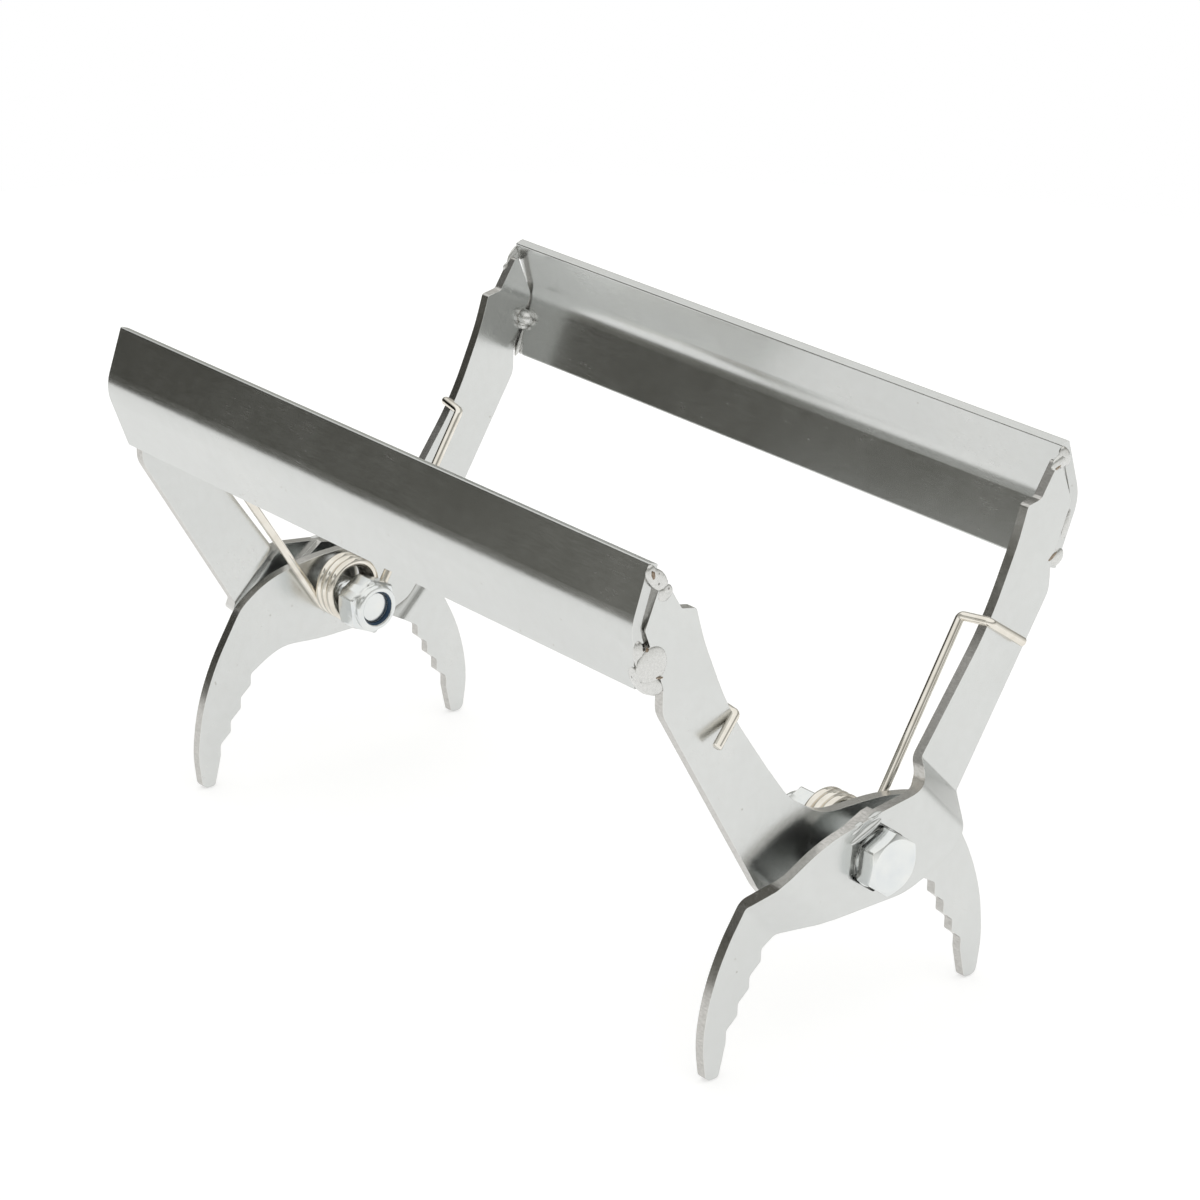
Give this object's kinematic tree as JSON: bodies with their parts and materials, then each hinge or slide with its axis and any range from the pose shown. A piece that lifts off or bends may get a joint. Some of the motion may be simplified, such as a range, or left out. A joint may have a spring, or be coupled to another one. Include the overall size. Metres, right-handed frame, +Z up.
{
  "type": "hive frame grip",
  "caption": "Scissor-action hive frame grip with V-section handle bars, crossed lever plates, toothed jaws and wire torsion springs that hold it open.",
  "frame": {"origin": "midway between the four jaw tips, on the plane that they stand on", "axes": "X across the two handle bars, Y along the bars and along both pivot bolts, Z up"},
  "size_m": [0.1302, 0.2172, 0.1248],
  "materials": {
    "sheet_steel": "zinc-coated sheet, satin, fine grain and light scratches",
    "plated_fasteners": "zinc-plated, slightly bluish, satin",
    "spring_wire": "bright nickel-toned round wire",
    "weld_metal": "pitted silvery weld metal",
    "nylon": "dark blue plastic"
  },
  "bodies": {
    "left_half": {"left_handle_bar": "sheet_steel", "left_outer_lever": "sheet_steel", "left_inner_lever": "sheet_steel", "left_far_welds": "weld_metal", "left_near_welds": "weld_metal", "far_pivot_bolt": "plated_fasteners", "far_washer": "plated_fasteners", "far_spacer": "plated_fasteners", "far_lock_nut": "plated_fasteners", "far_nut_insert": "nylon", "far_spring": "spring_wire"},
    "right_half": {"right_handle_bar": "sheet_steel", "right_outer_lever": "sheet_steel", "right_inner_lever": "sheet_steel", "right_near_welds": "weld_metal", "right_far_welds": "weld_metal", "near_pivot_bolt": "plated_fasteners", "near_washer": "plated_fasteners", "near_spacer": "plated_fasteners", "near_lock_nut": "plated_fasteners", "near_nut_insert": "nylon", "near_spring": "spring_wire"}
  },
  "joints": [
    {"name": "squeeze", "type": "hinge", "parent": "left_half", "child": "right_half", "pos_m": [0, 0, 0.0444], "axis": [0, -1, 0], "range_deg": [0, 70], "stiffness_Nm_per_rad": 0.6, "springref_deg": -20.05, "deforming": ["near_spring", "far_spring"]}
  ]
}
